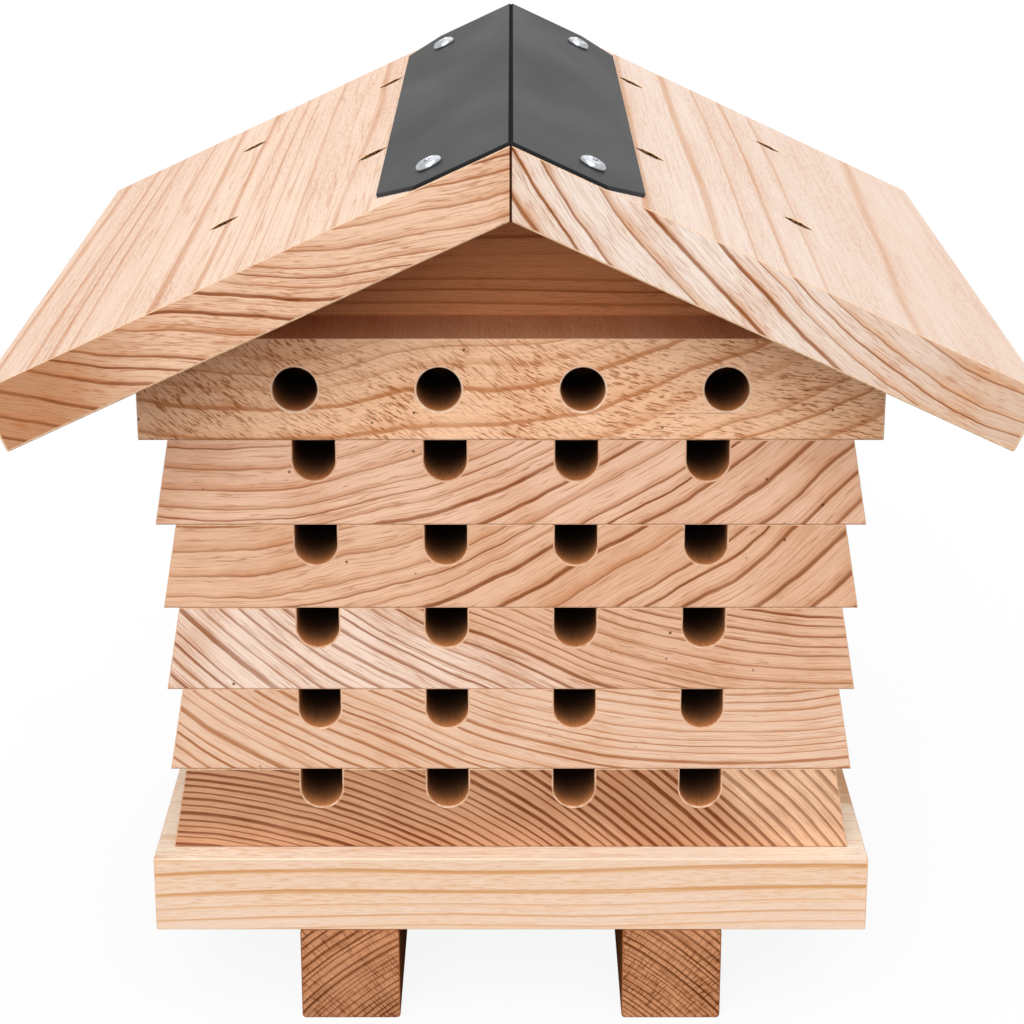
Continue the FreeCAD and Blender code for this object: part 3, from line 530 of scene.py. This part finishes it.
def sanded_arris(board):
    """Pine rubbed down along an edge: worn even, and painted dark as shade where it faces down to a seam."""
    material, add = new_material("sanded_pine_arris_" + board.name)
    place = add("TexCoord", out=3)
    fibre = cloud(add, place, (1.5 * MM,) * 3, 3)
    tint = add("MapRange", {0: fibre, 1: 0.35, 2: 0.75, 4: 0.7})
    colour = add("Mix", {0: tint, 6: opaque(board.rubbed), 7: opaque(board.band)}, **RGBA)
    # Painted shade on edges that face down to a seam
    facing = add("SeparateXYZ", {0: add("NewGeometry", out=1)}, out=2)
    shading = add("MapRange", {0: facing, 1: -0.25, 2: -0.6, 4: 0.7 if board.seam else 0})
    colour = add("Mix", {0: shading, 6: colour, 7: opaque(linear("#6A3416"))}, **RGBA)
    colour = dark_joint(add, board, place, colour)
    finish_material(add, colour, 0.7, 0.02, (0.2, 0.1 * MM, fibre))
    return material


def turned_beech(look):
    """Beech rod, turned and fluted: even pale brown with the short dark dashes of its rays along the rod."""
    material, add = new_material("turned_beech_rod")
    dash = cloud(add, add("TexCoord", out=3), (0.5 * MM, 0.5 * MM, 3 * MM), 2)
    tint = add("MapRange", {0: dash, 1: 0.5, 2: 0.75, 4: 0.6})
    colour = add("Mix", {0: tint, 6: opaque(look.beech), 7: opaque(linear("#A87A50"))}, **RGBA)
    rough = add("MapRange", {0: dash, 3: 0.45, 4: 0.65})
    finish_material(add, colour, rough, 0.35)
    return material


def rolled_sheet(name, dark, gloss, edge_shade_tone):
    """Dark plastic sheet, rolled: matt, with soft clouds from the rollers, pale scuffs, and cut edges facing
    front and back painted dark as shade.
    """
    material, add = new_material(name)
    place = add("TexCoord", out=3)
    rolled = cloud(add, place, (30 * MM, 70 * MM, 30 * MM), 3)
    grit = cloud(add, place, (0.8 * MM,) * 3, 2)
    shade = add("MapRange", {0: rolled, 1: 0.3, 2: 0.7, 4: 0.6})
    scuff = add("MapRange", {0: grit, 1: 0.68, 2: 0.8, 4: 0.3})
    # Painted shade: faces that look to the front or back take the dark edge colour
    facing = add("SeparateXYZ", {0: add("NewGeometry", out=1)}, out=1)
    cut = add("MapRange", {0: add("Math", {0: facing}, operation="ABSOLUTE"), 1: 0.5, 2: 0.9})
    colour = opaque(dark)
    for layer, over in ((shade, [min(1, 1.25 * part) for part in dark]), (scuff, linear("#5E5E60")),
                        (cut, edge_shade_tone)):
        colour = add("Mix", {0: layer, 6: colour, 7: opaque(over)}, **RGBA)
    rough = add("MapRange", {0: rolled, 1: 0.3, 2: 0.7, 3: 0.5, 4: 0.66})
    finish_material(add, colour, rough, gloss, (0.15, 0.1 * MM, grit))
    return material


def plated_zinc(name, pale, dim):
    """Steel plated with bright zinc: a pale mirror, broken by dull spots; in a recess it is dark and dull, a
    painted shade.
    """
    material, add = new_material(name)
    dull = cloud(add, add("TexCoord", out=3), (0.7 * MM,) * 3, 3)
    tint = add("MapRange", {0: dull, 1: 0.4, 2: 0.75, 4: 0.5})
    colour = add("Mix", {0: tint, 6: opaque(pale), 7: opaque(dim)}, **RGBA)
    rough = add("MapRange", {0: dull, 1: 0.3, 2: 0.75, 3: 0.16, 4: 0.4})
    finish_material(add, colour, rough, 0.5, metal=1.0)
    return material


def drawn_wire(look):
    """Drawn steel wire with a thin coat: dull grey, with spots that have browned in the slot."""
    material, add = new_material("drawn_steel_wire")
    stain = cloud(add, add("TexCoord", out=3), (0.9 * MM,) * 3, 3)
    tint = add("MapRange", {0: stain, 1: 0.4, 2: 0.65})
    colour = add("Mix", {0: tint, 6: opaque(look.wire), 7: opaque(linear("#35281E"))}, **RGBA)
    rough = add("MapRange", {0: stain, 3: 0.35, 4: 0.6})
    finish_material(add, colour, rough, 0.5, metal=1.0)
    return material


def place_piece(name, mesh, materials, node):
    """Makes a piece that stands for a node: same body, and the node itself hidden."""
    for material in materials:
        mesh.materials.append(material)
    piece = bpy.data.objects.new(name, mesh)
    bpy.context.scene.collection.objects.link(piece)
    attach(piece, BODIES[node])
    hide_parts(node)
    return piece


def eased_copy(node, name, arris, rim, materials, joined=True):
    """Makes a copy of a board's solid with its sharp edges rounded.

    The loose triangles are merged, and joined to flat faces where no slot lies within a face. A face that
    has some of the solid in front of its plane lies in a hole and takes the second material. An outward edge
    that turns by more than 35 degrees is rounded, by the rim at a hole and by the arris elsewhere; a mitre in
    the middle plane stays sharp.
    """
    shape = bmesh.new()
    shape.from_mesh(frame["nodes"][node].data)
    bmesh.ops.remove_doubles(shape, verts=shape.verts, dist=MERGE)
    if joined:
        bmesh.ops.dissolve_limit(shape, angle_limit=FLAT_TURN, verts=shape.verts, edges=shape.edges)
    points = np.array([vertex.co for vertex in shape.verts])
    for face in shape.faces:
        ahead = (points - np.array(face.verts[0].co)) @ np.array(face.normal)
        face.material_index = 1 if ahead.max() > CLEAR else 0
    weight = shape.edges.layers.float.new("bevel_weight_edge")
    for edge in shape.edges:
        inner = any(face.material_index for face in edge.link_faces)
        mitred = all(abs(vertex.co.x) < CLEAR for vertex in edge.verts)
        if edge.is_convex and edge.calc_face_angle(0) > SHARP_TURN and not mitred:
            edge[weight] = rim / arris if inner else 1
    mesh = bpy.data.meshes.new(name)
    shape.to_mesh(mesh)
    shape.free()
    piece = place_piece(name, mesh, materials, node)
    eased = piece.modifiers.new("Eased edges", "BEVEL")
    eased.limit_method = "WEIGHT"
    eased.width = arris
    eased.segments = 3
    eased.use_clamp_overlap = False
    eased.material = len(materials) - 1


def make_boards(context, nodes):
    """Makes each named board as an eased copy in its own pine."""
    for node in nodes:
        board = context.scene.bee_hotel.boards[node]
        hole = torn_pine(board) if board.mitre else bored_pine(board)
        pine = [sawn_pine(board), hole, sanded_arris(board)]
        eased_copy(node, node + "_sawn", board.arris, board.rim, pine, joined=board.mitre == 0)


def grid_mesh(name, patches, second=None):
    """Joins grids of points into one mesh.

    patches has the axes copy, row, column and coordinate. Neighbouring rows are joined by quads, columns
    close into a ring, and a row that shrinks to a point becomes a pole. Points marked in second start a face
    of the second material.
    """
    copies, rows, columns, axes = patches.shape
    index = np.arange(copies * rows * columns).reshape(copies, rows, columns)
    after = np.roll(index, -1, axis=2)
    quads = np.stack((index[:, :-1], after[:, :-1], after[:, 1:], index[:, 1:]), axis=-1)
    mesh = bpy.data.meshes.new(name)
    mesh.from_pydata(patches.reshape(-1, axes).tolist(), [], quads.reshape(-1, 4).tolist())
    if second is not None:
        mesh.polygons.foreach_set("material_index", second[:, :-1].astype(np.int32).ravel())
    shape = bmesh.new()
    shape.from_mesh(mesh)
    bmesh.ops.remove_doubles(shape, verts=shape.verts, dist=MERGE)
    bmesh.ops.recalc_face_normals(shape, faces=shape.faces)
    shape.to_mesh(mesh)
    shape.free()
    mesh.shade_smooth()
    mesh.set_sharp_from_angle(angle=ROUND_TURN)
    return mesh


def split_solids(node, *directions):
    """Splits a group of like solids half way along each direction into one array of points for each."""
    vertices = frame["nodes"][node].data.vertices
    points = np.empty(len(vertices) * 3)
    vertices.foreach_get("co", points)
    points = points.reshape(-1, 3)
    key = np.zeros(len(points), int)
    for step, direction in enumerate(directions):
        along = points @ np.array(direction)
        key += (along > (along.min() + along.max()) / 2).astype(int) << step
    return [points[key == number] for number in range(2 ** len(directions))]


def roof_axes(side):
    """Unit vectors of one roof slope: down the slope, back along the ridge, and out of the slope."""
    low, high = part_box("front_gable")
    pitch = math.atan2(high.z - low.z, high.x)
    down = (side * math.cos(pitch), 0, -math.sin(pitch))
    out = (side * math.sin(pitch), 0, math.cos(pitch))
    return np.array((down, (0, 1, 0), out))


def set_down(patch, origin, axes):
    """Moves a patch from its own frame to a place with the given three axes, and keeps what else it holds."""
    return np.concatenate((origin + patch[..., :3] @ np.array(axes), patch[..., 3:]), axis=-1)


def cross_recess(x, y, reach, width, depth):
    """Depth of a cross recess: deepest in the middle and shallower to the ends of its four arms."""
    first = np.maximum(abs(x) - width, abs(y) - reach)
    second = np.maximum(abs(y) - width, abs(x) - reach)
    inside = np.clip(-np.minimum(first, second) / RECESS_WALL, 0, 1)
    return inside * depth * (1 - 0.6 * np.hypot(x, y) / reach)


def screw_patch(head_radius, head_height, shank, length, pitch, recess):
    """A screw as a profile turned round its axis, as rows of points from the head's middle to the tip.

    The head follows the given line of radii and heights and has the recess sunk into it. On the shank the
    radius rises from the core and falls once in each thread pitch, moved along by the turn, and shrinks at
    the tip. The fourth coordinate is the depth of the recess.
    """
    turn = np.linspace(0, 2 * math.pi, 48, endpoint=False)
    down = np.linspace(0, 1, int(6 * length / pitch))[:, None]
    depth = down * length
    wave = abs(((depth / pitch + turn / (2 * math.pi)) % 1) - 0.5)
    ridge = np.clip(1 - 3 * wave, 0, 1) * np.clip(depth / pitch - 1, 0, 1)
    taper = np.clip((1 - down) * length / (2 * shank), 0, 1) ** 0.7
    shank_radius = shank * (CORE + (1 - CORE) * ridge) * taper
    head_size = (len(head_radius), len(turn))
    radius = np.vstack((np.broadcast_to(head_radius[:, None], head_size), shank_radius))
    height = np.vstack((np.broadcast_to(head_height[:, None], head_size),
                        np.broadcast_to(head_height[-1] - depth, shank_radius.shape)))
    x, y = radius * np.cos(turn), radius * np.sin(turn)
    top = slice(0, int(0.8 * len(head_radius)))
    sunk = np.zeros_like(height)
    sunk[top] = cross_recess(x[top], y[top], *recess)
    return np.stack((x, y, height - sunk, sunk), axis=-1)


def place_screws(look, node, patches):
    """Joins the screws of one node and gives their recesses the darker zinc, a painted shade."""
    tones = {"bright_zinc_plated_steel": (look.zinc, look.zinc_spot),
             "dull_zinc_in_recess": (look.zinc_spot, look.shade_dark)}
    zinc = [bpy.data.materials.get(name) or plated_zinc(name, *pair) for name, pair in tones.items()]
    patches = np.array(patches)
    mesh = grid_mesh(node + "_zinc", patches[..., :3], patches[..., 3] > RECESS_SHADE)
    place_piece(node + "_zinc", mesh, zinc, node)


def staple_patch(crown, leg, wire):
    """A staple as a circle carried along a path: up one leg, round a quarter turn, along the crown and down.

    The path lies in the plane of its first and third axes, with the crown's top at zero height.
    """
    bend = 0.9 * wire
    half = (crown - wire) / 2
    quarter = np.linspace(0, math.pi / 2, 7)
    inward, below = bend * (1 - np.cos(quarter)), bend * (1 - np.sin(quarter))
    corner = np.stack((inward - half, -wire / 2 - below), axis=-1)
    foot = np.array([[-half, wire / 2 - leg], [-half, -leg / 2]])
    rise = np.vstack((foot, corner))
    path = np.vstack((rise, rise[::-1] * (-1, 1)))
    ahead = np.gradient(path, axis=0)
    ahead /= np.linalg.norm(ahead, axis=1, keepdims=True)
    path = np.vstack((path[:1] - ahead[:1] * wire / 2, path, path[-1:] + ahead[-1:] * wire / 2))
    ahead = np.vstack((ahead[:1], ahead, ahead[-1:]))
    radius = np.full((len(path), 1), wire / 2)
    radius[[0, -1]] = 0
    turn = np.linspace(0, 2 * math.pi, 12, endpoint=False)
    x = path[:, :1] - radius * ahead[:, 1:] * np.cos(turn)
    z = path[:, 1:] + radius * ahead[:, :1] * np.cos(turn)
    y = radius * np.sin(turn) + np.zeros_like(x)
    return np.stack((x, y, z), axis=-1)


def pin_patch(radius, length, tip, flute):
    """A pin as a profile turned round its axis; in its grooves the radius falls with a cosine of the turn."""
    turn = np.linspace(0, 2 * math.pi, 96, endpoint=False)
    height = np.array((0, 0, tip, 2 * tip, length - 2 * tip, length - tip, length, length))[:, None]
    line = np.array((0, radius - tip, radius, radius, radius, radius, radius - tip, 0))[:, None]
    groove = np.array((0, 0, 0, 1, 1, 0, 0, 0))[:, None] * flute * (0.5 + 0.5 * np.cos(FLUTES * turn)) ** 2
    round_radius = line - groove
    return np.stack((round_radius * np.cos(turn), round_radius * np.sin(turn),
                     np.broadcast_to(height, round_radius.shape)), axis=-1)


def seen_directly(add):
    """One where a ray comes from the camera, or through a mirror or glass, and nought elsewhere."""
    path = add("LightPath").node.outputs
    glossy = add("Math", {0: path["Is Camera Ray"], 1: path["Is Glossy Ray"]}, operation="ADD")
    return add("Math", {0: glossy, 1: path["Is Transmission Ray"]}, operation="ADD", use_clamp=True)


def white_floor():
    """White paper: it takes the object's shadow, softened where the camera sees it."""
    material, add = new_material("white_paper_sweep")
    seen = seen_directly(add)
    pale = add("Mix", {0: seen, 6: opaque(linear("#7C7975")), 7: opaque(linear("#F6F6F6"))}, **RGBA)
    paper = add("BsdfDiffuse", {"Color": pale})
    glow = add("Emission", {"Color": (1, 1, 1, 1), "Strength": 1.0})
    glowing = add("Math", {0: seen, 1: FLOOR_GLOW}, operation="MULTIPLY")
    add("OutputMaterial", {"Surface": add("MixShader", {0: glowing, 1: paper, 2: glow})})
    return material


class BEEHOTEL_OT_legs(bpy.types.Operator):
    """Make the two sawn legs"""
    bl_idname = "beehotel.legs"
    bl_label = "Legs"

    def execute(self, context):
        make_boards(context, ("left_leg", "right_leg"))
        return {"FINISHED"}


class BEEHOTEL_OT_base_board(bpy.types.Operator):
    """Make the base board"""
    bl_idname = "beehotel.base_board"
    bl_label = "Base board"

    def execute(self, context):
        make_boards(context, ("base_board",))
        return {"FINISHED"}


class BEEHOTEL_OT_trays(bpy.types.Operator):
    """Make the five grooved trays"""
    bl_idname = "beehotel.trays"
    bl_label = "Trays"

    def execute(self, context):
        make_boards(context, TRAYS)
        return {"FINISHED"}


class BEEHOTEL_OT_top_block(bpy.types.Operator):
    """Make the drilled top block"""
    bl_idname = "beehotel.top_block"
    bl_label = "Top block"

    def execute(self, context):
        make_boards(context, ("top_block",))
        return {"FINISHED"}


class BEEHOTEL_OT_gables(bpy.types.Operator):
    """Make the two gables"""
    bl_idname = "beehotel.gables"
    bl_label = "Gables"

    def execute(self, context):
        make_boards(context, ("front_gable", "rear_gable"))
        return {"FINISHED"}


class BEEHOTEL_OT_roof_boards(bpy.types.Operator):
    """Make the two roof boards"""
    bl_idname = "beehotel.roof_boards"
    bl_label = "Roof boards"

    def execute(self, context):
        make_boards(context, ("left_roof_board", "right_roof_board"))
        return {"FINISHED"}


class BEEHOTEL_OT_ridge_cap(bpy.types.Operator):
    """Make the folded ridge cap"""
    bl_idname = "beehotel.ridge_cap"
    bl_label = "Ridge cap"

    def execute(self, context):
        look = context.scene.bee_hotel
        # The fold groove takes a darker sheet, painted as the shade in the crease
        fold = tuple(0.75 * dark + 0.25 * light for dark, light in zip(look.shade_dark, look.sheet))
        sheet = rolled_sheet("rolled_dark_plastic_sheet", look.sheet, 0.1, look.shade_dark)
        shade_dark = rolled_sheet("scored_dark_plastic_fold", fold, 0, look.shade_dark)
        eased_copy("ridge_cap", "ridge_cap_sheet", look.cap_arris, 0, [sheet, shade_dark, sheet])
        return {"FINISHED"}


class BEEHOTEL_OT_cap_screws(bpy.types.Operator):
    """Make the pan-head screws of the cap, each head a dome: a power of sine out and of cosine up"""
    bl_idname = "beehotel.cap_screws"
    bl_label = "Cap screws"

    def execute(self, context):
        look = context.scene.bee_hotel
        swing = np.linspace(0, math.pi / 2, 70)
        for name, side in SIDES.items():
            down, back, out = roof_axes(side)
            node = name + "_cap_screws"
            patches = []
            for points in split_solids(node, back):
                height = points @ out
                flat = points - np.outer(height, out)
                middle = (flat.min(axis=0) + flat.max(axis=0)) / 2
                head = np.hypot((flat - middle) @ down, (flat - middle) @ back).max()
                seat = height.max() - look.dome
                head_radius = np.append(head * np.sin(swing) ** 0.8, 0.94 * head)
                head_height = np.append(look.dome * (0.18 + 0.82 * np.cos(swing) ** 0.8), 0)
                length = seat - height.min()
                patch = screw_patch(head_radius, head_height, head / 2, length, PAN_THREAD, PAN_RECESS)
                patches.append(set_down(patch, middle + seat * out, (down, back, out)))
            place_screws(look, node, patches)
        return {"FINISHED"}


class BEEHOTEL_OT_wood_screws(bpy.types.Operator):
    """Make the hidden countersunk screws: a flat head with a recess, a cone, and a threaded shank"""
    bl_idname = "beehotel.wood_screws"
    bl_label = "Wood screws"

    def execute(self, context):
        look = context.scene.bee_hotel
        across, back, up = np.eye(3)
        for node, facing in (("leg_screws", up), ("gable_screws", -up)):
            patches = []
            for points in split_solids(node, across, back):
                height = points @ facing
                middle = (points.min(axis=0) + points.max(axis=0)) / 2
                middle[2] = 0
                head = (points - middle)[:, 0].max()
                shank = head / 2
                head_radius = np.append(np.linspace(0, head, 40), np.linspace(head, shank, 8))
                head_height = np.append(np.zeros(40), np.linspace(0, -look.countersink, 8))
                length = height.max() - height.min() - look.countersink
                patch = screw_patch(head_radius, head_height, shank, length, FLAT_THREAD, FLAT_RECESS)
                axes = (facing[2] * across, back, facing)
                patches.append(set_down(patch, middle + height.max() * facing, axes))
            place_screws(look, node, patches)
        return {"FINISHED"}


class BEEHOTEL_OT_staples(bpy.types.Operator):
    """Make the round wire staples, four in torn slots in each roof board"""
    bl_idname = "beehotel.staples"
    bl_label = "Staples"

    def execute(self, context):
        wire_steel = bpy.data.materials.get("drawn_steel_wire") or drawn_wire(context.scene.bee_hotel)
        for name, side in SIDES.items():
            axes = roof_axes(side)
            node = name + "_roof_staples"
            patches = []
            for points in split_solids(node, *axes[:2]):
                local = points @ axes.T
                low, high = local.min(axis=0), local.max(axis=0)
                crown, wire, leg = high - low
                top = np.append((low + high)[:2] / 2, high[2])
                patches.append(set_down(staple_patch(crown, leg, wire), top @ axes, axes))
            place_piece(node + "_wire", grid_mesh(node + "_wire", np.array(patches)), [wire_steel], node)
        return {"FINISHED"}


class BEEHOTEL_OT_pins(bpy.types.Operator):
    """Make the fluted beech pins, two in the top of the base board and of each tray"""
    bl_idname = "beehotel.pins"
    bl_label = "Locating pins"

    def execute(self, context):
        look = context.scene.bee_hotel
        beech = bpy.data.materials.get("turned_beech_rod") or turned_beech(look)
        for node in ("base_pins", *(tray + "_pins" for tray in TRAYS)):
            patches = []
            for points in split_solids(node, (1, 0, 0)):
                low, high = points.min(axis=0), points.max(axis=0)
                middle = (low + high) / 2
                patch = pin_patch((high[0] - low[0]) / 2, high[2] - low[2], PIN_BEVEL, look.flute)
                patches.append(patch + np.array((middle[0], middle[1], low[2])))
            place_piece(node + "_fluted", grid_mesh(node + "_fluted", np.array(patches)), [beech], node)
        return {"FINISHED"}


class BEEHOTEL_OT_stage(bpy.types.Operator):
    """Make the pale floor, even studio light and a camera at the photograph's angle"""
    bl_idname = "beehotel.stage"
    bl_label = "Stage"

    def execute(self, context):
        scene = context.scene
        look = scene.bee_hotel
        corners = ((-1, -1), (1, -1), (1, 1), (-1, 1))
        mesh = bpy.data.meshes.new("floor")
        mesh.from_pydata([(x * FLOOR_REACH, y * FLOOR_REACH, 0) for x, y in corners], [], [(0, 1, 2, 3)])
        floor = bpy.data.objects.new("floor", mesh)
        scene.collection.objects.link(floor)
        mesh.materials.append(white_floor())

        world = bpy.data.worlds.new("studio")
        scene.world = world
        world.use_nodes = True
        world.node_tree.nodes.clear()
        add = partial(add_node, world.node_tree)
        strength = add("MapRange", {0: seen_directly(add), 3: WORLD_LIGHT, 4: 1.0})
        sky = add("Background", {"Color": (1, 1, 1, 1), "Strength": strength})
        add("OutputWorld", {"Surface": sky})

        for name, (height, heading, level, spread) in LAMPS.items():
            lamp = bpy.data.lights.new(name, "SUN")
            lamp.energy = level * math.pi
            lamp.angle = math.radians(spread)
            light = bpy.data.objects.new(name, lamp)
            light.rotation_euler = (math.radians(90 - height), 0, math.radians(heading))
            scene.collection.objects.link(light)

        camera = bpy.data.objects.new("camera", bpy.data.cameras.new("camera"))
        camera.data.sensor_width = 36
        camera.data.lens = look.camera_lens
        camera.data.clip_start = 0.05
        camera.location = look.camera_place
        camera.rotation_euler = (math.pi / 2 - look.camera_dip, 0, 0)
        scene.collection.objects.link(camera)
        scene.camera = camera
        scene.view_settings.view_transform = "Standard"
        return {"FINISHED"}


OPERATORS = (
    BEEHOTEL_OT_legs,
    BEEHOTEL_OT_base_board,
    BEEHOTEL_OT_trays,
    BEEHOTEL_OT_top_block,
    BEEHOTEL_OT_gables,
    BEEHOTEL_OT_roof_boards,
    BEEHOTEL_OT_ridge_cap,
    BEEHOTEL_OT_cap_screws,
    BEEHOTEL_OT_wood_screws,
    BEEHOTEL_OT_staples,
    BEEHOTEL_OT_pins,
    BEEHOTEL_OT_stage,
)


class BEEHOTEL_PT_panel(bpy.types.Panel):
    """Sidebar panel with one button for each group of pieces"""
    bl_idname = "BEEHOTEL_PT_panel"
    bl_label = "Bee hotel"
    bl_space_type = "VIEW_3D"
    bl_region_type = "UI"
    bl_category = "Bee hotel"

    def draw(self, context):
        for operator in OPERATORS:
            self.layout.operator(operator.bl_idname)


CLASSES = (BoardLook, HotelLook, *OPERATORS, BEEHOTEL_PT_panel)


def register():
    """Registers the classes and hangs the settings on the scene."""
    for item in CLASSES:
        bpy.utils.register_class(item)
    bpy.types.Scene.bee_hotel = PointerProperty(type=HotelLook)


def unregister():
    """Takes the settings and the classes away again."""
    del bpy.types.Scene.bee_hotel
    for item in reversed(CLASSES):
        bpy.utils.unregister_class(item)


def main():
    """Makes every piece and the stage."""
    register()
    fill_boards(bpy.context.scene.bee_hotel)
    bpy.ops.beehotel.legs()
    bpy.ops.beehotel.base_board()
    bpy.ops.beehotel.trays()
    bpy.ops.beehotel.top_block()
    bpy.ops.beehotel.gables()
    bpy.ops.beehotel.roof_boards()
    bpy.ops.beehotel.ridge_cap()
    bpy.ops.beehotel.cap_screws()
    bpy.ops.beehotel.wood_screws()
    bpy.ops.beehotel.staples()
    bpy.ops.beehotel.pins()
    bpy.ops.beehotel.stage()


if __name__ == "__main__":
    main()
